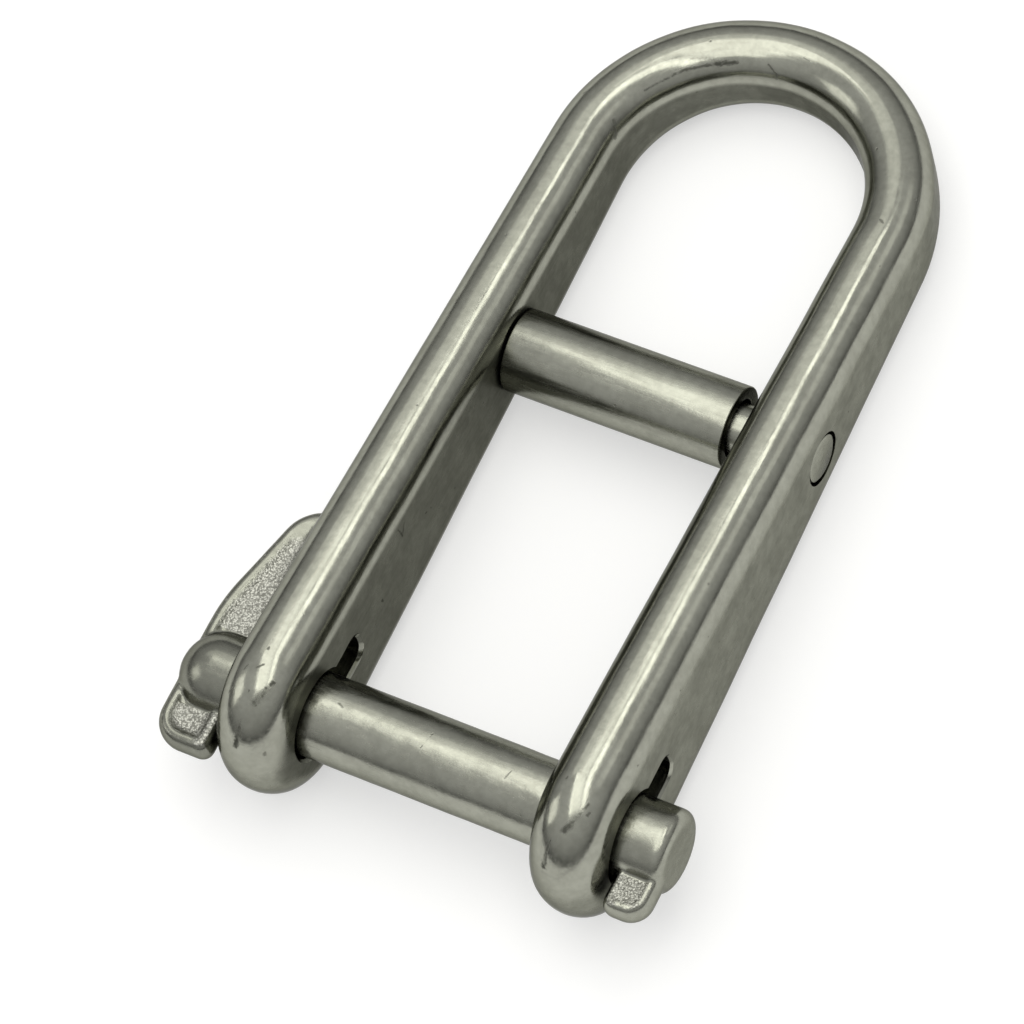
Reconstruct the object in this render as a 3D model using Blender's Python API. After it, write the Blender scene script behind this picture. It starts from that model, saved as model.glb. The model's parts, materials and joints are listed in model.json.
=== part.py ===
"""Chain joining shackle: a forged bow with a turning key pin, a riveted cross bar and a loose sleeve on the bar.

Metres, +Z up. The shackle is modelled about its pin: X runs along the pin, Y from the pin to the bow and Z across the
plane of the bow. An empty then lays it down on the straight lower edges of its legs, as it rests on a table.
"""

import math

import bmesh
import bpy
from mathutils import Vector

MM = 0.001

# Key pin, whose shank is the size that the shackle is known by
PIN_DIAMETER = 8.0 * MM
PIN_CLEARANCE = 0.3 * MM
PIN_STUB = 4.65 * MM
PIN_END_ROUND = 0.9 * MM
HUB_ROOT = 2.75 * MM
HUB_DOME = 3.85 * MM
CHEEK_CLEARANCE = 0.4 * MM

# Bow body
INSIDE_WIDTH = 24.56 * MM
PIN_TO_ARC = 60.9 * MM
BOW_RISE = 15.7 * MM
LEG_THICK_EYE = 7.06 * MM
LEG_THICK_ARC = 6.38 * MM
CROWN_THICK = 6.63 * MM
EYE_DEPTH = 18.9 * MM
ARC_DEPTH = 11.15 * MM
CROWN_DEPTH = 8.64 * MM
EYE_END = 8.55 * MM
EYE_SHIFT = 0.15 * MM
SLOT_WIDTH = 3.7 * MM
SLOT_REACH = 7.95 * MM
HOLE_BREAK = 0.25 * MM

# Cross bar and its sleeve
PIN_TO_BAR = 40.1 * MM
ROD_DIAMETER = 4.8 * MM
ROD_CLEARANCE = 0.25 * MM
SLEEVE_DIAMETER = 8.0 * MM
SLEEVE_BORE_CLEARANCE = 0.4 * MM
SLEEVE_END_PLAY = 1.85 * MM
SLEEVE_REST_GAP = 0.15 * MM
SLEEVE_BREAK = 0.12 * MM

# Wing of the key pin, a flat handle in the plane of the pin
WING_WIDTH = 6.25 * MM
WING_TIP_WIDTH = 3.45 * MM
WING_ARM = 18.7 * MM
WING_SHOULDER = 6.7 * MM
WING_TAIL = 7.95 * MM
WING_TIP_FALL = 1.46 * MM
WING_HALF_THICK = 1.5 * MM
WING_EDGE_ROUND = 0.95 * MM
WING_ARM_RIM = 1.85 * MM
WING_TAIL_RIM = 1.35 * MM
WING_PANEL_HALF = 0.75 * MM
WING_PANEL_TIP = 0.75 * MM
WING_ROOT_ROUND = 1.2 * MM
WING_NOSE_ROUND = 1.3 * MM
WING_TIP_ROUND = 6.0 * MM
WING_SHOULDER_ROUND = 15.0 * MM
WING_TAIL_ROUND = 3.0 * MM

# Key bit of the pin, which passes the slots of both eyes
KEY_REACH = 7.45 * MM
KEY_SIDE_CLEARANCE = 0.35 * MM
KEY_EDGE_ROUND = 0.8 * MM
KEY_RIM = 1.0 * MM
KEY_CHEEK_RIM = 0.1 * MM
KEY_PANEL_DROP = 0.35 * MM
KEY_ROOT_ROUND = 0.4 * MM
KEY_INNER_ROUND = 1.0 * MM
KEY_CORNER_ROUND = 2.2 * MM

# Fineness of the curved surfaces
ROUND_STEPS = 16
EYE_STEPS = 30
ARC_STEPS = 44
LEG_STEPS = 7
TURN_STEPS = 48
CORNER_STEPS = 7

PIN_R = PIN_DIAMETER / 2
HOLE_R = PIN_R + PIN_CLEARANCE
ROD_R = ROD_DIAMETER / 2
INNER_X = INSIDE_WIDTH / 2
EYE_R = EYE_DEPTH / 2
EYE_SQUASH = EYE_END / EYE_R


def leg_thickness(y):
    """Thickness of a leg at this distance from the pin. The outer face is one plane, through the eye too."""
    return LEG_THICK_EYE + (LEG_THICK_ARC - LEG_THICK_EYE) * y / PIN_TO_ARC


def outer_x(y):
    return INNER_X + leg_thickness(y)


def eye_tangent():
    """Angle of the eye, from straight across toward the bow, where the straight edge of the leg leaves its outline."""
    along = (PIN_TO_ARC - EYE_SHIFT) / EYE_SQUASH
    across = ARC_DEPTH / 2
    away = math.hypot(along, across)
    return math.pi / 2 - (math.atan2(across, along) + math.acos(EYE_R / away))


TANGENT = eye_tangent()
TANGENT_Y = EYE_SHIFT + EYE_R * EYE_SQUASH * math.sin(TANGENT)
TANGENT_Z = EYE_R * math.cos(TANGENT)
EDGE_SLOPE = (TANGENT_Z - ARC_DEPTH / 2) / (PIN_TO_ARC - TANGENT_Y)


# Scene helpers


def clear_scene():
    for obj in list(bpy.data.objects):
        bpy.data.objects.remove(obj, do_unlink=True)


def steel(name, colour, roughness):
    material = bpy.data.materials.new(name)
    material.use_nodes = True
    shader = material.node_tree.nodes["Principled BSDF"]
    shader.inputs["Base Color"].default_value = (*colour, 1.0)
    shader.inputs["Metallic"].default_value = 1.0
    shader.inputs["Roughness"].default_value = roughness
    material.diffuse_color = (*colour, 1.0)
    return material


def new_object(name, bm, material=None):
    bmesh.ops.recalc_face_normals(bm, faces=bm.faces)
    mesh = bpy.data.meshes.new(name)
    bm.to_mesh(mesh)
    bm.free()
    obj = bpy.data.objects.new(name, mesh)
    bpy.context.scene.collection.objects.link(obj)
    if material:
        mesh.materials.append(material)
    return obj


def combine(obj, others, operation):
    """Joins the others to the object or cuts them from it, and leaves one plain mesh."""
    for other in others:
        other.hide_render = True
        other.display_type = "WIRE"
        boolean = obj.modifiers.new(other.name, "BOOLEAN")
        boolean.operation = operation
        boolean.solver = "EXACT"
        boolean.object = other
    graph = bpy.context.evaluated_depsgraph_get()
    joined = bpy.data.meshes.new_from_object(obj.evaluated_get(graph))
    joined.name = obj.name
    obj.modifiers.clear()
    obj.data = joined
    for other in others:
        bpy.data.objects.remove(other, do_unlink=True)


def finish(obj, crease=30.0):
    obj.data.shade_smooth()
    obj.data.set_sharp_from_angle(angle=math.radians(crease))


# Shapes made by one rule each


def bridge(bm, first, second, closed=True):
    """Quads between two rows of points."""
    last = len(first) if closed else len(first) - 1
    for i in range(last):
        j = (i + 1) % len(first)
        corners = [first[i], first[j], second[j], second[i]]
        bm.faces.new([v for k, v in enumerate(corners) if v not in corners[:k]])


def turned(name, profile, closed=False, material=None, steps=TURN_STEPS):
    """Revolves (x, radius) points about X. A radius of zero closes the end."""
    bm = bmesh.new()
    rows = []
    for x, radius in profile:
        if radius <= 0.0:
            rows.append([bm.verts.new((x, 0.0, 0.0))] * steps)
            continue
        row = []
        for i in range(steps):
            angle = 2 * math.pi * i / steps
            row.append(bm.verts.new((x, radius * math.sin(angle), radius * math.cos(angle))))
        rows.append(row)
    for first, second in zip(rows, rows[1:] + (rows[:1] if closed else [])):
        bridge(bm, first, second)
    return new_object(name, bm, material)


def stacked(name, rows, material=None):
    """A closed loft through rows of points, with a flat face at each end."""
    bm = bmesh.new()
    made = [[bm.verts.new(point) for point in row] for row in rows]
    for first, second in zip(made, made[1:]):
        bridge(bm, first, second)
    bm.faces.new(made[0])
    bm.faces.new(made[-1])
    return new_object(name, bm, material)


def inset_outline(corners, radii, insets):
    """Rounded outline inside a polygon. Side i, from corner i to the next, moves in by insets[i]."""
    count = len(corners)
    area = sum(corners[i - 1][0] * corners[i][1] - corners[i][0] * corners[i - 1][1] for i in range(count))
    inward = 1.0 if area > 0 else -1.0
    sides = []
    for i in range(count):
        start = Vector(corners[i])
        along = (Vector(corners[(i + 1) % count]) - start).normalized()
        across = Vector((-along.y, along.x)) * inward
        sides.append((start + across * insets[i], along, across))
    sharp = []
    turns = []
    for i in range(count):
        (start, before, _), (end, after, _) = sides[i - 1], sides[i]
        step = end - start
        reach = (step.x * after.y - step.y * after.x) / (before.x * after.y - before.y * after.x)
        sharp.append(start + before * reach)
        turns.append(abs(before.angle_signed(after)))
    fillets = [max(radii[i] - (insets[i - 1] + insets[i]) / 2, 0.3 * MM) for i in range(count)]
    setbacks = [fillets[i] * math.tan(turns[i] / 2) for i in range(count)]
    room = []
    for i in range(count):
        j = (i + 1) % count
        room.append(0.96 * (sharp[j] - sharp[i]).length / (setbacks[i] + setbacks[j]))
    points = []
    for i in range(count):
        radius = fillets[i] * min(1.0, room[i - 1], room[i])
        before, after = sides[i - 1], sides[i]
        centre = sharp[i] - before[1] * radius * math.tan(turns[i] / 2) + before[2] * radius
        for k in range(CORNER_STEPS + 1):
            angle = turns[i] * k / CORNER_STEPS
            points.append(centre + radius * (before[1] * math.sin(angle) - before[2] * math.cos(angle)))
    return points


def plate(name, corners, radii, half_thick, edge_round, rims, panel_half, material=None):
    """A plate in the XY plane with a rounded rim and a sunk panel on each broad face."""
    levels = []
    for k in range(6):
        angle = math.pi / 2 * k / 5
        inset = edge_round * (1 - math.cos(angle))
        levels.append(([inset] * len(corners), half_thick * math.sin(angle)))
    crest = [edge_round + (rim - edge_round) * 0.3 for rim in rims]
    waist = [edge_round + (rim - edge_round) * 0.7 for rim in rims]
    levels.append((crest, half_thick - (half_thick - panel_half) * 0.12))
    levels.append((waist, half_thick - (half_thick - panel_half) * 0.78))
    levels.append((rims, panel_half))
    rows = []
    for insets, height in list(reversed(levels)) + levels[1:]:
        sign = 1.0 if len(rows) < len(levels) else -1.0
        rows.append([(p.x, p.y, sign * height) for p in inset_outline(corners, radii, insets)])
    return stacked(name, rows, material)


# Bow body


def half_section(reach, thickness):
    """(across, depth) points over the full round of one edge, from the inner face at mid depth to the outer one."""
    radius = thickness / 2
    flat = reach - radius
    points = [(-1.0, 0.0), (-1.0, flat / 2)]
    for k in range(ROUND_STEPS + 1):
        angle = math.pi * k / ROUND_STEPS - math.pi / 2
        points.append((math.sin(angle), flat + radius * math.cos(angle)))
    return points + [(1.0, flat / 2), (1.0, 0.0)]


def leg_point(side, across, y, z):
    x = INNER_X + (across + 1) / 2 * leg_thickness(y)
    return (side * x, y, z)


def ring(reach, thickness, place):
    """Both halves of a section as one closed row of points."""
    half = half_section(reach, thickness)
    upper = [place(across, depth) for across, depth in half]
    lower = [place(across, -depth) for across, depth in half]
    return upper + list(reversed(lower[1:-1]))


def eye_column(side, angle):
    """The section turned about the pin, from straight up toward the free end of the leg."""
    points = []
    for across, depth in half_section(EYE_R, leg_thickness(EYE_SHIFT)):
        y = EYE_SHIFT - depth * EYE_SQUASH * math.sin(angle)
        points.append(leg_point(side, across, y, depth * math.cos(angle)))
    return points


def leg_ring(side, y):
    reach = TANGENT_Z - EDGE_SLOPE * (y - TANGENT_Y)
    return ring(reach, leg_thickness(y), lambda across, z: leg_point(side, across, y, z))


def arc_ring(angle):
    """The section at this angle of the bow, from the right leg over the crown to the left one."""
    half_width = INNER_X + LEG_THICK_ARC / 2
    centre = Vector((half_width * math.cos(angle), PIN_TO_ARC + BOW_RISE * math.sin(angle), 0.0))
    out = Vector((BOW_RISE * math.cos(angle), half_width * math.sin(angle), 0.0)).normalized()
    rise = math.sin(angle)
    thickness = LEG_THICK_ARC + (CROWN_THICK - LEG_THICK_ARC) * rise
    depth = ARC_DEPTH + (CROWN_DEPTH - ARC_DEPTH) * rise

    def place(across, z):
        point = centre + out * (across * thickness / 2)
        return (point.x, point.y, z)

    return ring(depth / 2, thickness, place)


def bow_blank(name, material):
    """The forged bar as one loft: an eye, a leg, the bow, the other leg and its eye."""
    bm = bmesh.new()
    section = len(half_section(EYE_R, LEG_THICK_EYE))
    leg_ys = [TANGENT_Y + (PIN_TO_ARC - TANGENT_Y) * k / LEG_STEPS for k in range(1, LEG_STEPS)]
    rows = [leg_ring(1.0, y) for y in leg_ys]
    rows += [arc_ring(math.pi * k / ARC_STEPS) for k in range(ARC_STEPS + 1)]
    rows += [leg_ring(-1.0, y) for y in reversed(leg_ys)]
    made = [[bm.verts.new(point) for point in row] for row in rows]
    for first, second in zip(made, made[1:]):
        bridge(bm, first, second)
    for side, row in ((1.0, made[0]), (-1.0, made[-1])):
        columns = []
        for k in range(EYE_STEPS + 1):
            angle = -TANGENT + (math.pi + 2 * TANGENT) * k / EYE_STEPS
            points = eye_column(side, angle)
            middle = [bm.verts.new(point) for point in points[1:-1]]
            if not columns:
                ends = [bm.verts.new(points[0]), bm.verts.new(points[-1])]
            columns.append([ends[0]] + middle + [ends[1]])
        for first, second in zip(columns, columns[1:]):
            bridge(bm, first, second, closed=False)
        upper, lower = columns[0], columns[-1]
        seam = upper + list(reversed(lower[1:-1]))
        assert len(seam) == len(row) == 2 * section - 2
        bridge(bm, seam, row)
    return new_object(name, bm, material)


def keyhole_row(x, grow):
    """Outline of the pin hole and its slot toward the bow, as seen along X, grown on every side."""
    radius = HOLE_R + grow
    half = SLOT_WIDTH / 2 + grow
    meet = math.asin(half / radius)
    points = []
    for k in range(29):
        angle = meet + (2 * math.pi - 2 * meet) * k / 28
        points.append((x, radius * math.cos(angle), radius * math.sin(angle)))
    tip = SLOT_REACH + grow - half
    for k in range(11):
        angle = -math.pi / 2 + math.pi * k / 10
        points.append((x, tip + half * math.cos(angle), half * math.sin(angle)))
    return points


def keyhole_cutter(side):
    """Cutter for one eye, which breaks the edges of the hole and slot at both faces."""
    over = 1.0 * MM
    stations = [
        (INNER_X - over, HOLE_BREAK + over),
        (INNER_X + HOLE_BREAK, 0.0),
        (outer_x(0.0) - HOLE_BREAK, 0.0),
        (outer_x(0.0) + over, HOLE_BREAK + over),
    ]
    return stacked("eye_cutter", [keyhole_row(side * x, grow) for x, grow in stations])


def bow_body(material):
    body = bow_blank("bow_body", material)
    bore = ROD_R + ROD_CLEARANCE
    span = outer_x(PIN_TO_BAR) + 1.0 * MM
    rod_hole = turned("rod_cutter", [(-span, 0.0), (-span, bore), (span, bore), (span, 0.0)])
    rod_hole.location.y = PIN_TO_BAR
    bpy.context.view_layer.update()
    combine(body, [keyhole_cutter(-1.0), keyhole_cutter(1.0), rod_hole], "DIFFERENCE")
    finish(body)
    return body


# Bar


def bar_rivet(material):
    """The rod, closed flush with the outer faces of both legs."""
    half = outer_x(PIN_TO_BAR)
    rod = turned("bar_rivet", [(-half, 0.0), (-half, ROD_R), (half, ROD_R), (half, 0.0)], material=material)
    rod.location.y = PIN_TO_BAR
    finish(rod)
    return rod


def bar_sleeve(material):
    """The loose tube on the rod, slid against the left leg."""
    left = -INNER_X + SLEEVE_REST_GAP
    right = INNER_X - SLEEVE_END_PLAY
    outer = SLEEVE_DIAMETER / 2
    inner = ROD_R + SLEEVE_BORE_CLEARANCE
    cut = SLEEVE_BREAK
    profile = [(left + cut, outer), (right - cut, outer), (right, outer - cut), (right, inner + cut)]
    profile += [(right - cut, inner), (left + cut, inner), (left, inner + cut), (left, outer - cut)]
    sleeve = turned("bar_sleeve", profile, closed=True, material=material)
    sleeve.location.y = PIN_TO_BAR
    finish(sleeve)
    return sleeve


# Key pin


def pin_shank(material):
    """Hub with its domed end, shank and rounded free end, turned as one profile."""
    root = -outer_x(0.0) - CHEEK_CLEARANCE - HUB_ROOT
    tip = outer_x(0.0) + PIN_STUB
    profile = []
    for k in range(13):
        angle = math.pi / 2 * k / 12
        profile.append((root - HUB_DOME * math.cos(angle), PIN_R * math.sin(angle)))
    for k in range(7):
        angle = math.pi / 2 * k / 6
        x = tip - PIN_END_ROUND * (1 - math.sin(angle))
        profile.append((x, PIN_R - PIN_END_ROUND * (1 - math.cos(angle))))
    profile.append((tip, 0.0))
    profile[0] = (profile[0][0], 0.0)
    return turned("key_pin", profile, material=material)


def wing_tip_rim():
    """Width of the rim at the tip of the arm, where the sunk panel has narrowed to WING_PANEL_TIP."""
    taper = (WING_WIDTH - WING_TIP_WIDTH) / (WING_ARM - WING_TIP_FALL - WING_SHOULDER)
    fall = WING_TIP_FALL / WING_TIP_WIDTH
    both_rims = WING_ARM_RIM * (1 + math.hypot(1, taper))
    below = (WING_PANEL_TIP + both_rims - WING_TIP_WIDTH) / taper
    return (WING_TIP_FALL + below - (WING_ARM_RIM + WING_PANEL_TIP) * fall) / math.hypot(1, fall)


def wing(material):
    """Handle beside the left leg: a long arm toward the bow and a short tail, with a sunk panel on both faces."""
    root = -outer_x(0.0) - CHEEK_CLEARANCE
    corners = [
        (root, -WING_TAIL),
        (root, WING_ARM),
        (root - WING_TIP_WIDTH, WING_ARM - WING_TIP_FALL),
        (root - WING_WIDTH, WING_SHOULDER),
        (root - WING_WIDTH, -WING_TAIL),
    ]
    radii = [WING_ROOT_ROUND, WING_NOSE_ROUND, WING_TIP_ROUND, WING_SHOULDER_ROUND, WING_TAIL_ROUND]
    rims = [WING_ARM_RIM, wing_tip_rim(), WING_ARM_RIM, WING_TAIL_RIM, WING_TAIL_RIM]
    return plate("wing", corners, radii, WING_HALF_THICK, WING_EDGE_ROUND, rims, WING_PANEL_HALF, material)


def key_bit(material):
    """Flat key outside the right leg, turned away from the slots while the shackle is closed."""
    root = outer_x(0.0) + CHEEK_CLEARANCE
    tip = outer_x(0.0) + PIN_STUB
    half = SLOT_WIDTH / 2 - KEY_SIDE_CLEARANCE
    corners = [(root, 0.0), (root, -KEY_REACH), (tip, -KEY_REACH), (tip, 0.0)]
    radii = [KEY_ROOT_ROUND, KEY_INNER_ROUND, KEY_CORNER_ROUND, KEY_ROOT_ROUND]
    rims = [KEY_EDGE_ROUND + KEY_CHEEK_RIM, KEY_RIM, KEY_RIM, KEY_RIM]
    return plate("key", corners, radii, half, KEY_EDGE_ROUND, rims, half - KEY_PANEL_DROP, material)


def key_pin(material):
    pin = pin_shank(material)
    combine(pin, [wing(material), key_bit(material)], "UNION")
    finish(pin, 40.0)
    return pin


# Assembly


def world_bounds(objects):
    graph = bpy.context.evaluated_depsgraph_get()
    low = Vector((math.inf,) * 3)
    high = Vector((-math.inf,) * 3)
    for obj in objects:
        seen = obj.evaluated_get(graph)
        for vertex in seen.data.vertices:
            point = seen.matrix_world @ vertex.co
            low = Vector(map(min, low, point))
            high = Vector(map(max, high, point))
    return low, high


def main():
    clear_scene()
    pieces = [
        bow_body(steel("polished_body_steel", (0.56, 0.56, 0.53), 0.24)),
        bar_rivet(steel("rod_steel", (0.50, 0.50, 0.48), 0.32)),
        bar_sleeve(steel("sleeve_steel", (0.52, 0.52, 0.50), 0.28)),
        key_pin(steel("key_pin_steel", (0.55, 0.55, 0.52), 0.30)),
    ]
    rest = bpy.data.objects.new("shackle_at_rest", None)
    bpy.context.scene.collection.objects.link(rest)
    for piece in pieces:
        piece.parent = rest
    rest.rotation_euler.x = -math.atan(EDGE_SLOPE)
    bpy.context.view_layer.update()
    low, high = world_bounds(pieces)
    rest.location = (-(low.x + high.x) / 2, -(low.y + high.y) / 2, -low.z)
    bpy.context.view_layer.update()


main()
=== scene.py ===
"""Looks of the chain joining shackle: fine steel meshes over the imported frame, floor, lamps and camera."""

import json
import math

import bmesh
import bpy
from mathutils import Matrix, Vector, noise

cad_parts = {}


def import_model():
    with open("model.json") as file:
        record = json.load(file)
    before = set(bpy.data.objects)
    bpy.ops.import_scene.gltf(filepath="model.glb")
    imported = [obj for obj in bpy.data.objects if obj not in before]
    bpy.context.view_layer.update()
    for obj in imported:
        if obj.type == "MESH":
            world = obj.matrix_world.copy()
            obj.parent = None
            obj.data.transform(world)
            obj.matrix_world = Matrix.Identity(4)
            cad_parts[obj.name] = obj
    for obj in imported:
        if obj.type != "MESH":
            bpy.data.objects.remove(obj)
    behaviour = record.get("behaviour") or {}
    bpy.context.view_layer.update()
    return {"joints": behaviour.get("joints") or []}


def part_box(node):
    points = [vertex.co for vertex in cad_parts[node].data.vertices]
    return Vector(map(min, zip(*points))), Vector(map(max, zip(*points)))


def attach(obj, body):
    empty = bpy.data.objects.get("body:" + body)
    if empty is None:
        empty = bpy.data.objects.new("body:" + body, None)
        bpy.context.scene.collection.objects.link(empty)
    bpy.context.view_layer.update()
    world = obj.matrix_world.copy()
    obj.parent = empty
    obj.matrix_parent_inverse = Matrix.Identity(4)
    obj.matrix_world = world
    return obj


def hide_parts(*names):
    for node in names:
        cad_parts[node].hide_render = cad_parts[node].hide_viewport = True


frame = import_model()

MM = 0.001
JOINTS = {joint["name"]: joint for joint in frame["joints"]}
PIN_AT = Vector(JOINTS["pin_turn"]["pos_m"])
BAR_AT = Vector(JOINTS["sleeve_turn"]["pos_m"])

# Sizes that follow the frame
PIN_TO_BAR = (BAR_AT - PIN_AT).length
SLOPE = math.atan2(BAR_AT.z - PIN_AT.z, BAR_AT.y - PIN_AT.y)
REST = Matrix.Translation(PIN_AT) @ Matrix.Rotation(SLOPE, 4, "X")
SLEEVE_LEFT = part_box("bar_sleeve")[0].x - PIN_AT.x
SLEEVE_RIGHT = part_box("bar_sleeve")[1].x - PIN_AT.x
ROD_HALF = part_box("bar_rivet")[1].x - PIN_AT.x
PIN_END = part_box("key_pin")[1].x - PIN_AT.x

# Sizes of the key pin, as in the solids but for the end round, the rims and the depth of the panels
PIN_R = 4.0 * MM
PIN_STUB = 4.65 * MM
PIN_END_ROUND = 1.1 * MM
HUB_ROOT = 2.75 * MM
HUB_DOME = 3.85 * MM
CHEEK_CLEARANCE = 0.4 * MM
WING_WIDTH = 6.25 * MM
WING_TIP_WIDTH = 3.45 * MM
WING_ARM = 18.7 * MM
WING_SHOULDER = 6.7 * MM
WING_TAIL = 7.95 * MM
WING_TIP_FALL = 1.46 * MM
WING_HALF_THICK = 1.5 * MM
WING_EDGE_ROUND = 0.95 * MM
WING_ARM_RIM = 2.15 * MM
WING_LEG_RIM = 1.9 * MM
WING_TIP_RIM = 4.4 * MM
WING_TAIL_RIM = 1.8 * MM
WING_PANEL_HALF = 1.0 * MM
WING_ROUNDS = [1.2 * MM, 1.3 * MM, 6.0 * MM, 15.0 * MM, 3.0 * MM]
KEY_REACH = 7.45 * MM
KEY_HALF = 1.5 * MM
KEY_EDGE_ROUND = 0.8 * MM
KEY_RIMS = [0.9 * MM, 1.0 * MM, 1.0 * MM, 1.0 * MM]
KEY_PANEL_HALF = 1.32 * MM
KEY_ROUNDS = [0.4 * MM, 1.0 * MM, 2.2 * MM, 0.4 * MM]

# Sizes of the bow body, as in the solids but for the corners of the slots
INNER_X = 12.28 * MM
PIN_TO_ARC = 60.9 * MM
BOW_RISE = 15.7 * MM
LEG_THICK_EYE = 7.06 * MM
LEG_THICK_ARC = 6.38 * MM
CROWN_THICK = 6.63 * MM
EYE_R = 9.45 * MM
ARC_DEPTH = 11.15 * MM
CROWN_DEPTH = 8.64 * MM
EYE_SQUASH = 8.55 / 9.45
EYE_SHIFT = 0.15 * MM
HOLE_R = 4.3 * MM
SLOT_WIDTH = 3.7 * MM
SLOT_REACH = 7.95 * MM
SLOT_CORNER = 1.5 * MM
HOLE_BREAK = 0.3 * MM
ROD_R = 2.4 * MM
ROD_EDGE = 0.35 * MM
ROD_HOLE_R = 2.65 * MM
SLEEVE_R = 4.0 * MM
SLEEVE_BORE_R = 2.8 * MM
SLEEVE_BREAK = 0.18 * MM

# Fineness of the meshes
ROUND_STEPS = 26
FLAT_STEPS = 6
EYE_STEPS = 72
LEG_ROW = 0.8 * MM
ARC_STEPS = 130
TURN_STEPS = 128
CORNER_STEPS = 14
LEAST_FILLET = 0.3 * MM
FILLET_ROOM = 0.96
CAST_VOXEL = 0.17 * MM
CAST_SOFTENING = 8
SLIVER = 0.004 * MM
BREAK_STEPS = 5
EDGE_STEPS = 9
FALL_STEPS = 8
DOME_STEPS = 24
HOLE_STEPS = 60
SLOT_CORNER_STEPS = 8

# How far the cutters pass the faces
KEYHOLE_OVER = 0.6 * MM
ROD_HOLE_OVER = 1.0 * MM

# How far the surfaces wander from true, and over what lengths
BODY_WAVE = 0.045 * MM
BODY_WAVE_LONG = 9.0 * MM
BODY_WAVE_ROUND = 4.5 * MM
CAST_WAVE = 0.03 * MM
CAST_WAVE_SIZE = 3.0 * MM

# Angles, in degrees, above which an edge stays sharp
BODY_CREASE = 35.0
BAR_CREASE = 40.0
CAST_CREASE = 60.0


# Meshes


def new_piece(name, bm):
    """A mesh object, built about the pin, with its faces turned outward."""
    bmesh.ops.recalc_face_normals(bm, faces=bm.faces)
    mesh = bpy.data.meshes.new(name)
    bm.to_mesh(mesh)
    bm.free()
    piece = bpy.data.objects.new(name, mesh)
    bpy.context.scene.collection.objects.link(piece)
    return piece


def lay_down(piece):
    """Moves what was built about the pin to where the frame has it."""
    piece.data.transform(REST)


def freeze(piece):
    """Applies the piece's modifiers."""
    graph = bpy.context.evaluated_depsgraph_get()
    mesh = bpy.data.meshes.new_from_object(piece.evaluated_get(graph))
    mesh.name = piece.name
    piece.modifiers.clear()
    piece.data = mesh


def combine(piece, others, operation):
    for other in others:
        cut = piece.modifiers.new(other.name, "BOOLEAN")
        cut.operation = operation
        cut.solver = "EXACT"
        cut.object = other
    freeze(piece)
    for other in others:
        bpy.data.objects.remove(other, do_unlink=True)


def clear_slivers(piece):
    """Clears the doubled points and thin faces that a cut leaves, and splits its many-sided faces evenly."""
    bm = bmesh.new()
    bm.from_mesh(piece.data)
    bmesh.ops.remove_doubles(bm, verts=bm.verts, dist=SLIVER)
    bmesh.ops.dissolve_degenerate(bm, edges=bm.edges, dist=SLIVER)
    many_sided = [face for face in bm.faces if len(face.verts) > 4]
    bmesh.ops.triangulate(bm, faces=many_sided, ngon_method="BEAUTY")
    bm.to_mesh(piece.data)
    bm.free()


def smooth(piece, crease):
    piece.data.shade_smooth()
    piece.data.set_sharp_from_angle(angle=math.radians(crease))


def bridge(bm, first, second, closed=True):
    last = len(first) if closed else len(first) - 1
    for i in range(last):
        j = (i + 1) % len(first)
        corners = [first[i], first[j], second[j], second[i]]
        bm.faces.new([v for k, v in enumerate(corners) if v not in corners[:k]])


def turned(name, profile, closed=False):
    """Revolves (x, radius) points about X. A radius of zero closes the end."""
    bm = bmesh.new()
    rows = []
    for x, radius in profile:
        if radius <= 0.0:
            rows.append([bm.verts.new((x, 0.0, 0.0))] * TURN_STEPS)
            continue
        row = []
        for i in range(TURN_STEPS):
            angle = 2 * math.pi * i / TURN_STEPS
            row.append(bm.verts.new((x, radius * math.sin(angle), radius * math.cos(angle))))
        rows.append(row)
    for first, second in zip(rows, rows[1:] + (rows[:1] if closed else [])):
        bridge(bm, first, second)
    return new_piece(name, bm)


def stacked(name, rows):
    """A closed loft through rows of points, with a flat face at each end."""
    bm = bmesh.new()
    made = [[bm.verts.new(point) for point in row] for row in rows]
    for first, second in zip(made, made[1:]):
        bridge(bm, first, second)
    bm.faces.new(made[0])
    bm.faces.new(made[-1])
    return new_piece(name, bm)


def inset_outline(corners, radii, insets):
    """Rounded outline inside a polygon. Side i, from corner i to the next, moves in by insets[i]."""
    count = len(corners)
    area = sum(corners[i - 1][0] * corners[i][1] - corners[i][0] * corners[i - 1][1] for i in range(count))
    inward = 1.0 if area > 0 else -1.0
    sides = []
    for i in range(count):
        start = Vector(corners[i])
        along = (Vector(corners[(i + 1) % count]) - start).normalized()
        across = Vector((-along.y, along.x)) * inward
        sides.append((start + across * insets[i], along, across))
    sharp = []
    turns = []
    for i in range(count):
        (start, before, _), (end, after, _) = sides[i - 1], sides[i]
        step = end - start
        reach = (step.x * after.y - step.y * after.x) / (before.x * after.y - before.y * after.x)
        sharp.append(start + before * reach)
        turns.append(abs(before.angle_signed(after)))
    fillets = [max(radii[i] - (insets[i - 1] + insets[i]) / 2, LEAST_FILLET) for i in range(count)]
    setbacks = [fillets[i] * math.tan(turns[i] / 2) for i in range(count)]
    room = []
    for i in range(count):
        j = (i + 1) % count
        room.append(FILLET_ROOM * (sharp[j] - sharp[i]).length / (setbacks[i] + setbacks[j]))
    points = []
    for i in range(count):
        radius = fillets[i] * min(1.0, room[i - 1], room[i])
        before, after = sides[i - 1], sides[i]
        centre = sharp[i] - before[1] * radius * math.tan(turns[i] / 2) + before[2] * radius
        for k in range(CORNER_STEPS + 1):
            angle = turns[i] * k / CORNER_STEPS
            points.append(centre + radius * (before[1] * math.sin(angle) - before[2] * math.cos(angle)))
    return points


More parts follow.
